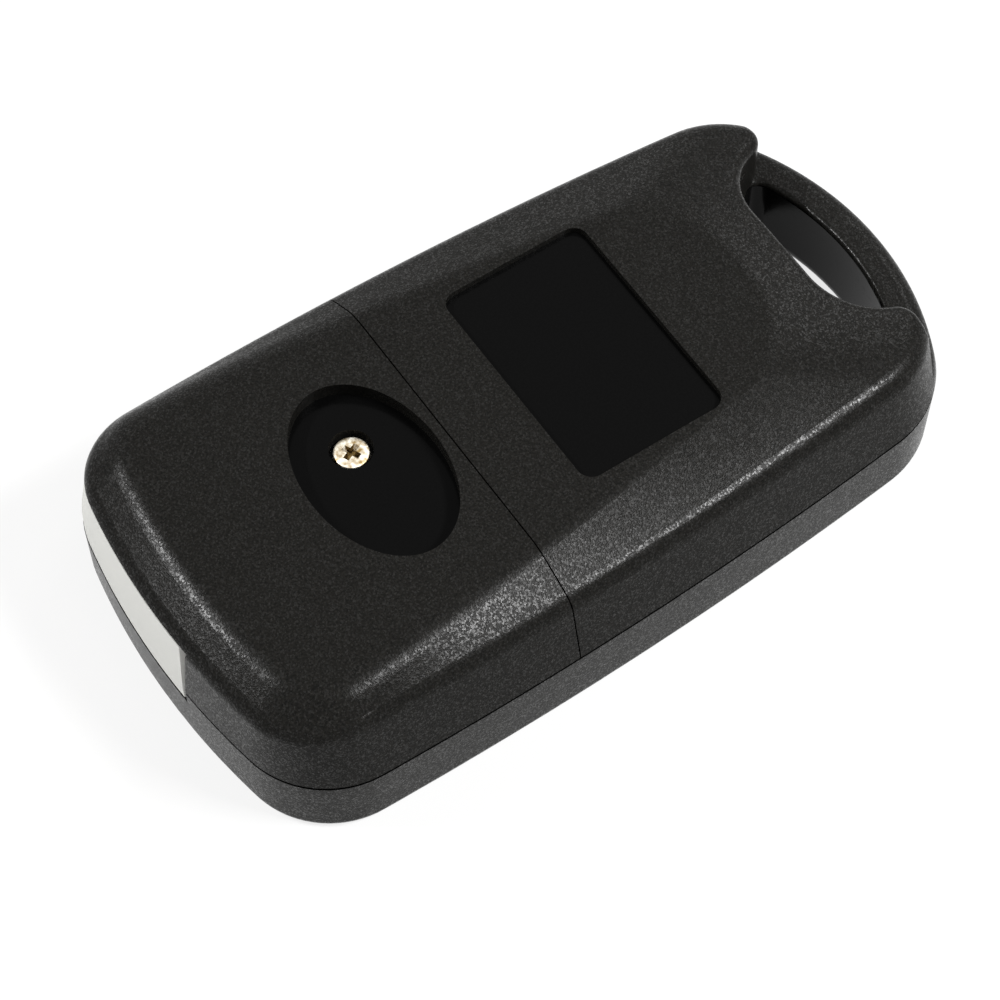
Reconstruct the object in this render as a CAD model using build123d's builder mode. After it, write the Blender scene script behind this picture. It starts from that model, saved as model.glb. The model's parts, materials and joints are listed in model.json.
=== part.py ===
from build123d import *
import math
import os

os.makedirs("parts", exist_ok=True)

# Frame: the remote lies on its button face, rear side up, +Z up, origin under the middle of its box.
# The keyring end points along +X, the blade pivot is at the -X end, the folded blade lies on the +Y side.

# Housing, overall
body_length = 70.0
body_width = 38.0
body_height = 15.4
parting_z = 6.8
widest_share = 0.2914
side_radius = 392.0
blade_end_radius = 65.0
ring_end_radius = 26.2
blade_corner_radius = 8.2
ring_corner_radius = 9.4
wall = 1.6
floor = 1.5
front_draft_inset = 0.25
front_edge_radius = 0.8
parting_gap = 0.15
parting_depth = 0.45

# Rear form: walls lean in to the crown line, then flanks rise to a bullet-shaped plateau
crown_drop = 2.1
wall_draft = 12.0
far_lean = 1.0
end_relief = 1.0
crown_radius = 2.0
plateau_radius = 4.0
plateau_side_radius = 800.0
plateau_side_setback = 75.0
plateau_side_bulge = 0.43
plateau_nose_share = 0.7957
plateau_nose_radius = 16.0
plateau_shoulder_width = 13.0
plateau_end_inset = 3.8

# Cross seam between the rear covers
seam_share = 0.3881
seam_gap = 0.12

# Scooped keyring end
scoop_depth = 5.4
shoulder_width = 9.4
scoop_corner = 5.9
horn_setback = 1.81
horn_outer_radius = 3.0
horn_tip_radius = 1.8
bar_width = 3.4
bar_rise = 2.0
bar_outer_radius = 1.4
bar_inner_radius = 0.5
scoop_edge_radius = 0.8
slot_corner = 1.2
slot_foot_radius = 1.8
ring_wall = 1.6

# Recesses of the rear face
label_start_share = 0.48
label_length = 13.4
label_side_margin = 8.7
label_corner = 1.3
label_depth = 0.6
oval_share = 0.2943
oval_side_margin = 10.4
oval_half_width = 5.7
oval_depth = 1.4
oval_floor = 1.2

# Blade pivot, head and blade
pivot_setback = 6.0
pivot_side_margin = 12.15
head_drop = 1.3
head_cover = 2.9
head_radius = 12.2
head_draft = 4.0
head_clearance = 0.2
sweep_clearance = 0.4
notch_headroom = 0.3
barrel_radius = 6.4
face_plate = 3.6
arm_wall = 1.7
head_inner_fillet = 2.0
blade_lift = 0.4
blade_thickness = 2.4
blade_side_margin = 2.2
blade_width = 8.2
blade_tang_reach = 6.4
blade_tip_setback = 10.0
blade_slot_clearance = 0.4
blade_seat_clearance = 0.03
tip_clearance = 1.2
blade_point = 2.6
groove_width = 2.2
groove_inset = 2.0
groove_start_reach = 15.0
cut_start = 4.6
cut_mouth = 2.2
cut_root = 0.8
groove_depth = 0.5
cut_pitch = 2.4
cut_depths = [0.5, 1.1, 0.9, 0.7, 0.5, 1.1, 0.7, 0.9, 0.5]
roll_pin_reach = 8.8
roll_pin_radius = 0.8
roll_pin_fit = 0.02
roll_pin_recess = 0.3
roll_pin_slit = 0.3
head_face_inset = 0.1

# Pivot pin, spring and release button
pin_radius = 1.4
pin_clearance = 0.05
pin_seat_depth = 1.6
pin_boss_wall = 1.6
pin_chamfer = 0.3
cup_radius = 4.0
cup_roof = 3.0
spring_wire = 0.6
spring_radius = 2.35
spring_turns = 5.0
release_radius = 4.0
release_face_z = 0.3
release_flange = 0.5
release_travel = 1.6
release_stem_radius = 3.6
release_stem_wall = 0.6
release_stem_z = 6.4
release_floor_z = 2.6
release_ring_radius = 7.0
button_clearance = 0.12
seat_gap = 0.05

# Key buttons on the front face
key_button_gap = 1.6
key_button_width = 14.0
key_button_corner = 3.0
key_button_face_z = 0.2
key_button_flange = 0.6
key_button_flange_height = 0.6
key_button_nub = 1.3
button_edge_radius = 0.3
key_button_travel = 0.5
key_button_end_gap = 1.3
key_button_names = ["lock", "unlock", "trunk"]

# Circuit board and what it carries
board_z = 4.6
board_thickness = 1.0
board_start_share = 0.3629
board_end_gap = 1.1
board_corner = 3.0
board_clearance = 0.3
switch_size = 4.5
switch_body = 1.2
switch_plunger = 0.5
switch_plunger_radius = 1.1
switch_chamfer = 0.3
cell_height = 3.2
cell_wall_gap = 1.3
cell_lip_gap = 2.1
contact_height = 0.7
contact_sheet = 0.2
contact_length = 9.0
contact_width = 4.0
cell_step = 0.5
cell_edge_radius = 0.3
holder_clearance = 0.15
holder_wall = 0.75
holder_height = 2.6
clip_width = 6.0
clip_gap = 0.25
clip_foot = 0.8
chip_zone = 5.5
# Name, gaps to the board's end and to the far side, length, width and height of each chip
board_chips = [
    ("control_chip", 2.8, 26.4, 4.4, 4.4, 0.9),
    ("radio_chip", 2.8, 14.4, 3.2, 3.2, 0.8),
    ("crystal", 2.8, 20.4, 3.2, 2.4, 0.7),
    ("antenna_coil", 14.2, 7.4, 9.0, 3.0, 0.9),
]
chip_corner = 0.2
chip_chamfer = 0.1
transponder_setback = 14.4
transponder_side_margin = 7.6
transponder_length = 12.0
transponder_width = 6.0
transponder_height = 3.0
transponder_chamfer = 0.6

# Screw
screw_wall_gap = 2.8
screw_head_radius = 1.5
screw_head_height = 1.0
screw_shank_radius = 0.95
screw_tip_gap = 1.5
screw_well_radius = 1.8
screw_clearance = 0.15
boss_radius = 2.3
screw_sink = 0.4
screw_head_round = 0.35
screw_cross_length = 1.9
screw_cross_width = 0.45
screw_cross_depth = 0.5
screw_cross_turn = 20.0

# Ribs, lip and posts inside the housing
rib_wall = 1.2
rib_root = 0.6
lip_height = 1.0
lip_thickness = 0.7
lip_clearance = 0.3
lip_start_reach = 8.0
fit_gap = 0.1
bay_wall_gap = 1.6
guide_rib_start_gap = 3.17
guide_rib_end_gap = 2.3
guide_rib_count = 6
cell_rib_pitch = 12.0
cell_rib_length = 10.0
cell_rib_gap = 0.3
board_post_end_gaps = [3.0, 2.8]
board_post_side_margin = 6.4
board_post_radius = 1.4
board_stub_radius = 0.7

# Values that follow from those above: the ends and sides
blade_end_x = -body_length / 2
ring_end_x = body_length / 2
side_y = body_width / 2
widest_x = blade_end_x + widest_share * body_length

# Where the ring end's corner arc runs out on its nose arc: the horns end just before that
nose_x = ring_end_x - ring_end_radius
arc_dx = widest_x - nose_x
arc_dy = side_y - side_radius
arc_gap = math.hypot(arc_dx, arc_dy)
corner_reach = ring_end_radius - ring_corner_radius
corner_along = (corner_reach**2 - (side_radius - ring_corner_radius) ** 2 + arc_gap**2) / (2 * arc_gap)
corner_turn = math.atan2(arc_dy, arc_dx) + math.acos(corner_along / corner_reach)
corner_end_x = nose_x + ring_end_radius * math.cos(corner_turn)
horn_x = corner_end_x - horn_setback
scoop_x = horn_x - scoop_depth
inner_end_x = scoop_x - ring_wall

# Places along the body
seam_x = blade_end_x + seam_share * body_length
plateau_nose_x = blade_end_x + plateau_nose_share * body_length
plateau_side_x = blade_end_x - plateau_side_setback
label_start_x = blade_end_x + label_start_share * body_length
oval_x = blade_end_x + oval_share * body_length
pivot_x = blade_end_x + pivot_setback
blade_tang_x = pivot_x + blade_tang_reach
blade_tip_x = ring_end_x - blade_tip_setback
groove_start_x = pivot_x + groove_start_reach
roll_pin_x = pivot_x + roll_pin_reach
lip_start_x = pivot_x + lip_start_reach
board_start_x = blade_end_x + board_start_share * body_length
board_end_x = inner_end_x - board_end_gap
bay_wall_x = board_start_x - bay_wall_gap
transponder_x = blade_end_x + transponder_setback
channel_length = blade_tip_x + tip_clearance - blade_end_x
guide_rib_first_x = seam_x - guide_rib_start_gap
guide_rib_pitch = (inner_end_x - guide_rib_end_gap - guide_rib_first_x) / (guide_rib_count - 1)
guide_rib_places = [guide_rib_first_x + i * guide_rib_pitch for i in range(guide_rib_count)]
key_button_start_x = board_start_x + key_button_end_gap
key_button_pitch = (board_end_x - key_button_start_x) / len(key_button_names)
key_button_length = key_button_pitch - key_button_gap
key_button_places = [key_button_start_x + (i + 0.5) * key_button_pitch for i in range(len(key_button_names))]

# Places across the body
scoop_half_width = side_y - shoulder_width
plateau_nose_corner = side_y - plateau_shoulder_width
label_width = body_width - 2 * label_side_margin
oval_half_length = side_y - oval_side_margin
pivot_y = side_y - pivot_side_margin
blade_inner_y = side_y - blade_side_margin - blade_width
arm_inner_y = blade_inner_y - arm_wall
roll_pin_y = blade_inner_y + blade_width / 2
channel_y = blade_inner_y - blade_slot_clearance
channel_wall_y = channel_y - rib_wall
lip_end_y = channel_wall_y - lip_clearance
lip_inner_inset = wall + lip_clearance + lip_thickness
screw_x = oval_x
screw_y = channel_wall_y - screw_wall_gap - screw_shank_radius
cell_radius = (channel_wall_y + side_y - lip_inner_inset - cell_wall_gap - cell_lip_gap) / 2
clip_reach = cell_radius + holder_clearance + clip_gap
cell_x = board_end_x - chip_zone - clip_foot - clip_reach
cell_y = channel_wall_y - cell_wall_gap - cell_radius
transponder_y = transponder_side_margin - side_y
board_post_y = side_y - board_post_side_margin
board_post_xs = [board_start_x + board_post_end_gaps[0], board_end_x - board_post_end_gaps[1]]
board_post_places = [(x, y) for x in board_post_xs for y in (board_post_y, -board_post_y)]

# Heights
draft_slope = math.tan(math.radians(wall_draft))
crown_z = body_height - crown_drop
crown_inset = (crown_z - parting_z) * draft_slope
bar_top_z = parting_z + bar_rise
head_bottom_z = parting_z - head_drop
head_top_z = body_height - head_cover
head_share = (head_top_z - parting_z) / (crown_z - parting_z)
head_top_inset = head_face_inset + head_share * crown_inset
head_top_radius = head_radius - (head_top_z - head_bottom_z) * math.tan(math.radians(head_draft))
ceiling_z = body_height - wall
pad_z = body_height - oval_depth - oval_floor
blade_bottom_z = parting_z + blade_lift
channel_top_z = blade_bottom_z + blade_thickness + blade_slot_clearance
cup_top_z = head_top_z - cup_roof
pin_top_z = head_top_z + notch_headroom + pin_seat_depth
pin_bottom_z = release_floor_z + release_travel + sweep_clearance
screw_seat_z = body_height - oval_depth - screw_sink - screw_head_height
screw_tip_z = floor + screw_tip_gap
key_button_flange_z = floor + seat_gap
key_button_flange_top_z = key_button_flange_z + key_button_flange_height
key_button_nub_z = board_z - switch_body - switch_plunger - key_button_travel - seat_gap
board_top_z = board_z + board_thickness
cell_z = board_top_z + contact_height
cell_rib_z = cell_z + cell_height + contact_sheet + cell_rib_gap


def nose_mask(tip_x, radius):
    """Everything on the blade's side of a round nose."""
    reach = 4 * body_length
    with BuildSketch() as mask:
        with Locations((tip_x - radius, 0)):
            Circle(radius)
            Rectangle(reach, reach, align=(Align.MAX, Align.CENTER))
    return mask.sketch


def housing_plan(inset=0.0, far_inset=0.0, end_outset=0.0):
    """Plan outline of the housing moved inwards by inset, more on the far side, less at the blade end."""
    with BuildSketch() as plan:
        with Locations((widest_x, side_y - side_radius)):
            Circle(side_radius - inset - far_inset)
        with Locations((widest_x, side_radius - side_y)):
            Circle(side_radius - inset, mode=Mode.INTERSECT)
        with Locations((blade_end_x + blade_end_radius, 0)):
            Circle(blade_end_radius - inset + end_outset, mode=Mode.INTERSECT)
        add(nose_mask(ring_end_x - inset, ring_end_radius - inset), mode=Mode.INTERSECT)
        fillet(plan.vertices().sort_by(Axis.X)[:2], blade_corner_radius - inset)
        fillet(plan.vertices().sort_by(Axis.X)[-2:], ring_corner_radius - inset)
    return plan.sketch


def plateau_plan(inset=0.0):
    """Bullet-shaped outline of the raised plateau, round nose towards the keyring."""
    end_inset = plateau_end_inset + inset
    arc_y = side_y + plateau_side_bulge - inset - plateau_side_radius
    with BuildSketch() as plan:
        with Locations((plateau_side_x, arc_y)):
            Circle(plateau_side_radius)
        with Locations((plateau_side_x, -arc_y)):
            Circle(plateau_side_radius, mode=Mode.INTERSECT)
        with Locations((blade_end_x + blade_end_radius, 0)):
            Circle(blade_end_radius - end_inset, mode=Mode.INTERSECT)
        add(nose_mask(plateau_nose_x - inset, plateau_nose_radius), mode=Mode.INTERSECT)
        fillet(plan.vertices().group_by(Axis.X)[0], blade_corner_radius - end_inset)
        fillet(plan.vertices().group_by(Axis.X)[-1], plateau_nose_corner)
    return plan.sketch


def rear_form(skin=0.0, groove=0.0):
    """Rear half above the parting line; a skin gives the space left inside that thickness."""
    with BuildPart() as form:
        with BuildSketch(Plane.XY.offset(parting_z)):
            add(housing_plan(skin + groove))
        with BuildSketch(Plane.XY.offset(parting_z + parting_gap)):
            add(housing_plan(skin))
        with BuildSketch(Plane.XY.offset(crown_z - skin)):
            add(housing_plan(skin + crown_inset, far_lean, end_relief))
        with BuildSketch(Plane.XY.offset(body_height - skin)):
            add(plateau_plan(skin))
        loft(ruled=True)
    return form.part


def parting_groove():
    """Square groove round the housing where its two halves meet."""
    with BuildPart() as groove:
        with BuildSketch(Plane.XY.offset(parting_z - parting_gap)):
            add(housing_plan(-wall))
            add(housing_plan(parting_depth), mode=Mode.SUBTRACT)
        extrude(amount=2 * parting_gap)
    return groove.part


def scoop_pocket():
    """Plan of the pocket that the scoop and the keyring slot share."""
    reach = body_length
    with BuildSketch() as plan:
        with Locations((scoop_x + reach / 2, 0)):
            RectangleRounded(reach, 2 * scoop_half_width, scoop_corner)
    return plan.sketch


def slot_plan():
    """Keyring slot, between the scoop and the bar."""
    with BuildSketch() as plan:
        add(nose_mask(ring_end_x - bar_width, ring_end_radius - bar_width))
        add(scoop_pocket(), mode=Mode.INTERSECT)
        fillet(plan.vertices().group_by(Axis.X)[-1], slot_corner)
    return plan.sketch


def horn_plan():
    """Plan of what rises above the bar: the housing up to the scoop, with a horn on each side."""
    with BuildSketch() as plan:
        add(housing_plan())
        with Locations((horn_x, 0)):
            Rectangle(body_length, 2 * body_width, align=(Align.MIN, Align.CENTER), mode=Mode.SUBTRACT)
        fillet(plan.vertices().group_by(Axis.X)[-1], horn_outer_radius)
        add(scoop_pocket(), mode=Mode.SUBTRACT)
        tips = plan.vertices().group_by(Axis.X)[-1]
        fillet(tips.filter_by(lambda v: abs(v.Y) < scoop_half_width + seat_gap), horn_tip_radius)
    return plan.sketch


def lip_plan(inset):
    """Band along the inside of the wall, left out where the blade and its head move."""
    with BuildSketch() as plan:
        add(housing_plan(inset))
        add(housing_plan(lip_inner_inset), mode=Mode.SUBTRACT)
        with Locations(((lip_start_x + inner_end_x) / 2, lip_end_y - body_width / 2)):
            Rectangle(inner_end_x - lip_start_x, body_width, mode=Mode.INTERSECT)
    return plan.sketch


def front_form():
    """Front half below the parting line, walls leaning in towards the button face."""
    with BuildPart() as form:
        with BuildSketch():
            add(housing_plan(front_draft_inset))
        with BuildSketch(Plane.XY.offset(parting_z)):
            add(housing_plan())
        loft(ruled=True)
    return form.part


# Lower storey of the rear half, which ends in the keyring bar
with BuildPart() as bar:
    add(split(rear_form(groove=parting_depth), Plane.XY.offset(bar_top_z), keep=Keep.BOTTOM))
    fillet(bar.faces().sort_by(Axis.Z)[-1].edges(), bar_outer_radius)
    with BuildSketch(Plane.XY.offset(parting_z)):
        add(slot_plan())
    extrude(amount=bar_rise, mode=Mode.SUBTRACT)
    fillet(bar.faces().sort_by(Axis.Z)[-1].inner_wires().edges(), bar_inner_radius)

# Rear half in one piece, before the seam divides it
with BuildPart() as rear:
    add(rear_form(groove=parting_depth))
    fillet(rear.edges().filter_by(lambda e: abs(e.center().Z - crown_z) < seat_gap), crown_radius)
    fillet(rear.faces().sort_by(Axis.Z)[-1].edges(), plateau_radius)
    with BuildSketch(Plane.XY.offset(parting_z)):
        add(horn_plan())
    extrude(amount=body_height - parting_z, mode=Mode.INTERSECT)
    # The top edge of the scoop's wall, between its corners and on round both horns
    scoop_wall = rear.faces().filter_by(Plane.YZ).sort_by(lambda f: abs(f.center().X - scoop_x))[0]
    fillet(scoop_wall.edges().sort_by(Axis.Z)[-1], scoop_edge_radius)
    add(bar.part)
    add(parting_groove(), mode=Mode.SUBTRACT)

# Space inside the rear covers, closed before the scoop
with BuildPart() as rear_space:
    add(rear_form(wall))
    with BuildSketch(Plane.XY.offset(parting_z)):
        with Locations((inner_end_x, 0)):
            Rectangle(body_length, 2 * body_width, align=(Align.MIN, Align.CENTER))
    extrude(amount=body_height, mode=Mode.SUBTRACT)

# Channel that the folded blade lies in, open along the far side
with BuildPart() as blade_channel:
    with BuildSketch(Plane.XY.offset(parting_z)):
        with Locations((blade_end_x, channel_y)):
            Rectangle(channel_length, body_width, align=(Align.MIN, Align.MIN))
    extrude(amount=channel_top_z - parting_z)

# Space that the head sweeps through when it turns
with BuildPart() as head_sweep:
    with BuildSketch(Plane.XY.offset(head_bottom_z - head_clearance)):
        with Locations((pivot_x, pivot_y)):
            Circle(head_radius + sweep_clearance)
    extrude(amount=head_top_z + notch_headroom - head_bottom_z + head_clearance)

# Wall beside the blade channel, and the ribs over it that guide the blade
with BuildPart() as channel_ribs:
    with BuildSketch(Plane.XY.offset(parting_z)):
        with Locations((blade_end_x, channel_y)):
            Rectangle(inner_end_x - blade_end_x, rib_wall, align=(Align.MIN, Align.MAX))
    extrude(amount=ceiling_z - parting_z + rib_root)
    with BuildSketch(Plane.XY.offset(channel_top_z)):
        for x in guide_rib_places:
            with Locations((x, channel_y)):
                Rectangle(rib_wall, body_width, align=(Align.CENTER, Align.MIN))
    extrude(amount=ceiling_z - channel_top_z + rib_root)
    add(rear_form(wall / 2), mode=Mode.INTERSECT)

# Rib along the seam, and pads for the oval recess and the pivot pin, inside the short cover
with BuildPart() as pivot_ribs:
    with BuildSketch(Plane.XY.offset(parting_z)):
        with Locations((seam_x - seam_gap / 2, channel_y)):
            Rectangle(rib_wall, body_width, align=(Align.MAX, Align.MAX))
        add(housing_plan(wall + 2 * lip_clearance + lip_thickness), mode=Mode.INTERSECT)
    extrude(amount=ceiling_z - parting_z)
    with BuildSketch(Plane.XY.offset(pad_z)):
        with Locations((oval_x, 0)):
            Ellipse(oval_half_width + rib_wall, oval_half_length + rib_wall)
        with Locations((pivot_x, pivot_y)):
            Circle(pin_radius + pin_boss_wall)
        with Locations((seam_x - seam_gap / 2, 0)):
            Rectangle(body_length, body_width, align=(Align.MIN, Align.CENTER), mode=Mode.SUBTRACT)
    extrude(amount=rib_root + oval_floor)
    add(rear_form(wall / 2), mode=Mode.INTERSECT)

# Long rear cover over the electronics
with BuildPart() as battery_cover:
    add(rear.part)
    with BuildSketch(Plane.XY.offset(parting_z)):
        with Locations((seam_x + seam_gap / 2, 0)):
            Rectangle(body_length, 2 * body_width, align=(Align.MAX, Align.CENTER))
    extrude(amount=body_height, mode=Mode.SUBTRACT)
    add(rear_space.part, mode=Mode.SUBTRACT)
    add(split(channel_ribs.part, Plane.YZ.offset(seam_x + seam_gap / 2), keep=Keep.TOP, mode=Mode.PRIVATE))
    add(blade_channel.part, mode=Mode.SUBTRACT)
    with BuildSketch(Plane.XY.offset(body_height)):
        with Locations((label_start_x + label_length / 2, 0)):
            RectangleRounded(label_length, label_width, label_corner)
    extrude(amount=-label_depth, mode=Mode.SUBTRACT)
    with BuildSketch(Plane.XY.offset(cell_rib_z)):
        with GridLocations(cell_rib_pitch, 0, 2, 1):
            with Locations((cell_x, cell_y)):
                Rectangle(rib_wall, cell_rib_length)
    extrude(amount=ceiling_z - cell_rib_z + rib_root)
battery_cover.part.label = "battery_cover"
export_step(battery_cover.part, "parts/battery_cover.step")

# Short rear cover over the blade pivot
with BuildPart() as pivot_cover:
    add(rear.part)
    with BuildSketch(Plane.XY.offset(parting_z)):
        with Locations((seam_x - seam_gap / 2, 0)):
            Rectangle(body_length, 2 * body_width, align=(Align.MIN, Align.CENTER))
    extrude(amount=body_height, mode=Mode.SUBTRACT)
    add(rear_space.part, mode=Mode.SUBTRACT)
    add(split(channel_ribs.part, Plane.YZ.offset(seam_x - seam_gap / 2), keep=Keep.BOTTOM, mode=Mode.PRIVATE))
    add(pivot_ribs.part)
    with BuildSketch(Plane.XY.offset(body_height)):
        with Locations((oval_x, 0)):
            Ellipse(oval_half_width, oval_half_length)
    extrude(amount=-oval_depth, mode=Mode.SUBTRACT)
    with BuildSketch(Plane.XY.offset(parting_z)):
        with Locations((screw_x, screw_y)):
            Circle(boss_radius)
    extrude(amount=pad_z - parting_z)
    add(head_sweep.part, mode=Mode.SUBTRACT)
    add(blade_channel.part, mode=Mode.SUBTRACT)
    with Locations((screw_x, screw_y, body_height - oval_depth)):
        CounterBoreHole(
            radius=screw_shank_radius + screw_clearance,
            counter_bore_radius=screw_well_radius,
            counter_bore_depth=screw_head_height + screw_sink,
        )
    with BuildSketch(Plane.XY.offset(head_top_z)):
        with Locations((pivot_x, pivot_y)):
            Circle(pin_radius)
    extrude(amount=pin_top_z - head_top_z, mode=Mode.SUBTRACT)
pivot_cover.part.label = "pivot_cover"
export_step(pivot_cover.part, "parts/pivot_cover.step")

# Front shell: floor, outer wall, lower half of the keyring bar, posts and ribs
with BuildPart() as front_shell:
    add(front_form())
    fillet(front_shell.faces().sort_by(Axis.Z)[0].edges(), front_edge_radius)
    with BuildSketch():
        add(slot_plan())
    extrude(amount=parting_z, mode=Mode.SUBTRACT)
    fillet(front_shell.faces().sort_by(Axis.Z)[0].inner_wires().edges(), slot_foot_radius)
    add(parting_groove(), mode=Mode.SUBTRACT)
    with BuildSketch(Plane.XY.offset(floor)):
        add(housing_plan(wall))
        with Locations((inner_end_x, 0)):
            Rectangle(body_length, 2 * body_width, align=(Align.MIN, Align.CENTER), mode=Mode.SUBTRACT)
    extrude(amount=parting_z, mode=Mode.SUBTRACT)
    # Lip that locates the rear covers, on a ledge along the inside of the wall
    with BuildSketch(Plane.XY.offset(parting_z - lip_height)):
        add(lip_plan(wall + lip_clearance))
    extrude(amount=2 * lip_height)
    with BuildSketch(Plane.XY.offset(floor)):
        add(lip_plan(wall / 2))
    extrude(amount=parting_z - floor)
    # Wall between the pivot bay and the electronics
    with BuildSketch(Plane.XY.offset(floor)):
        add(housing_plan(wall / 2))
        with Locations((bay_wall_x, 0)):
            Rectangle(rib_wall, 2 * body_width, mode=Mode.INTERSECT)
    extrude(amount=parting_z - floor)
    # Ring that carries the head and guides the release button
    with BuildSketch(Plane.XY.offset(floor)):
        with Locations((pivot_x, pivot_y)):
            Circle(release_ring_radius)
        add(housing_plan(wall / 2), mode=Mode.INTERSECT)
    extrude(amount=parting_z - floor)
    with Locations((screw_x, screw_y, floor)):
        Cylinder(boss_radius, parting_z - floor, align=(Align.CENTER, Align.CENTER, Align.MIN))
    # Posts that carry the circuit board, each with a locating stub
    for radius, top_z in ((board_post_radius, board_z), (board_stub_radius, board_top_z)):
        with BuildSketch(Plane.XY.offset(floor)):
            with Locations(*board_post_places):
                Circle(radius)
        extrude(amount=top_z - floor)
    # Frame around the transponder chip
    with BuildSketch(Plane.XY.offset(floor)):
        with Locations((transponder_x, transponder_y)):
            Rectangle(transponder_length + 2 * rib_wall, transponder_width + 2 * rib_wall)
            Rectangle(transponder_length + fit_gap, transponder_width + fit_gap, mode=Mode.SUBTRACT)
    extrude(amount=transponder_height)
    add(head_sweep.part, mode=Mode.SUBTRACT)
    # Button openings and the screw's pilot hole
    with BuildSketch():
        for x in key_button_places:
            with Locations((x, 0)):
                RectangleRounded(
                    key_button_length + 2 * button_clearance,
                    key_button_width + 2 * button_clearance,
                    key_button_corner,
                )
        with Locations((pivot_x, pivot_y)):
            Circle(release_radius + button_clearance)
    extrude(amount=floor, mode=Mode.SUBTRACT)
    with BuildSketch(Plane.XY.offset(floor)):
        with Locations((pivot_x, pivot_y)):
            Circle(release_radius + release_flange + button_clearance)
    extrude(amount=parting_z, mode=Mode.SUBTRACT)
    with BuildSketch(Plane.XY.offset(floor)):
        with Locations((screw_x, screw_y)):
            Circle(screw_shank_radius + fit_gap / 2)
    extrude(amount=parting_z, mode=Mode.SUBTRACT)
front_shell.part.label = "front_shell"
export_step(front_shell.part, "parts/front_shell.step")

# Pale cast head: barrel on the pivot, plate that closes the blade end, arm that holds the blade
with BuildPart() as blade_head:
    with BuildSketch(Plane.XY.offset(head_bottom_z)):
        add(housing_plan(head_face_inset))
    with BuildSketch(Plane.XY.offset(parting_z)):
        add(housing_plan(head_face_inset))
    with BuildSketch(Plane.XY.offset(head_top_z)):
        add(housing_plan(head_top_inset, head_share * far_lean, head_share * end_relief))
    loft(ruled=True)
    with Locations((pivot_x, pivot_y, head_bottom_z)):
        Cone(
            head_radius,
            head_top_radius,
            head_top_z - head_bottom_z,
            align=(Align.CENTER, Align.CENTER, Align.MIN),
            mode=Mode.INTERSECT,
        )
    with BuildSketch(Plane.XY.offset(head_bottom_z)) as head_step:
        with Locations((blade_end_x + face_plate, arm_inner_y)):
            Rectangle(body_length, body_width, align=(Align.MIN, Align.MAX))
        with Locations((pivot_x, pivot_y)):
            Circle(barrel_radius, mode=Mode.SUBTRACT)
        fillet(head_step.vertices().filter_by(lambda v: v.X < 0), head_inner_fillet)
    extrude(amount=head_top_z - head_bottom_z, mode=Mode.SUBTRACT)
    with BuildSketch(Plane.XY.offset(blade_bottom_z - blade_seat_clearance)):
        with Locations((blade_tang_x - blade_seat_clearance, blade_inner_y - blade_seat_clearance)):
            Rectangle(body_length, blade_width + 2 * blade_seat_clearance, align=(Align.MIN, Align.MIN))
    extrude(amount=blade_thickness + 2 * blade_seat_clearance, mode=Mode.SUBTRACT)
    with BuildSketch(Plane.XY.offset(head_bottom_z)):
        with Locations((roll_pin_x, roll_pin_y)):
            Circle(roll_pin_radius)
    extrude(amount=head_top_z - head_bottom_z, mode=Mode.SUBTRACT)
    with BuildSketch(Plane.XY.offset(head_bottom_z)):
        with Locations((pivot_x, pivot_y)):
            Circle(cup_radius)
    extrude(amount=cup_top_z - head_bottom_z, mode=Mode.SUBTRACT)
    with BuildSketch(Plane.XY.offset(head_bottom_z)):
        with Locations((pivot_x, pivot_y)):
            Circle(pin_radius + pin_clearance)
    extrude(amount=head_top_z - head_bottom_z, mode=Mode.SUBTRACT)
blade_head.part.label = "blade_head"
export_step(blade_head.part, "parts/blade_head.step")

# Steel blade: tang in the head, a groove on each face, cuts along the outer edge, pointed tip
with BuildPart() as key_blade:
    with BuildSketch(Plane.XY.offset(blade_bottom_z)) as blade_plan:
        with Locations((blade_tang_x, blade_inner_y)):
            Rectangle(blade_tip_x - blade_tang_x, blade_width, align=(Align.MIN, Align.MIN))
        chamfer(blade_plan.vertices().group_by(Axis.X)[-1], blade_point)
        for i, depth in enumerate(cut_depths):
            with BuildLine():
                x = blade_tip_x - cut_start - i * cut_pitch
                y = blade_inner_y + blade_width
                Polyline(
                    (x - cut_mouth / 2, y),
                    (x - cut_root / 2, y - depth),
                    (x + cut_root / 2, y - depth),
                    (x + cut_mouth / 2, y),
                    close=True,
                )
            make_face(mode=Mode.SUBTRACT)
    extrude(amount=blade_thickness)
    for z in (blade_bottom_z, blade_bottom_z + blade_thickness - groove_depth):
        with BuildSketch(Plane.XY.offset(z)):
            with Locations((groove_start_x, blade_inner_y + groove_inset)):
                Rectangle(body_length, groove_width, align=(Align.MIN, Align.MIN))
        extrude(amount=groove_depth, mode=Mode.SUBTRACT)
    with BuildSketch(Plane.XY.offset(blade_bottom_z)):
        with Locations((roll_pin_x, roll_pin_y)):
            Circle(roll_pin_radius)
    extrude(amount=blade_thickness, mode=Mode.SUBTRACT)
key_blade.part.label = "key_blade"
export_step(key_blade.part, "parts/key_blade.step")

# Rolled pin through the head and the blade's tang
with BuildPart() as blade_roll_pin:
    with BuildSketch(Plane.XY.offset(head_bottom_z + roll_pin_recess)):
        with Locations((roll_pin_x, roll_pin_y)):
            Circle(roll_pin_radius - roll_pin_fit)
            Circle(roll_pin_radius / 2, mode=Mode.SUBTRACT)
            Rectangle(2 * roll_pin_radius, roll_pin_slit, align=(Align.MIN, Align.CENTER), mode=Mode.SUBTRACT)
    extrude(amount=head_top_z - head_bottom_z - 2 * roll_pin_recess)
blade_roll_pin.part.label = "blade_roll_pin"
export_step(blade_roll_pin.part, "parts/blade_roll_pin.step")

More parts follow.
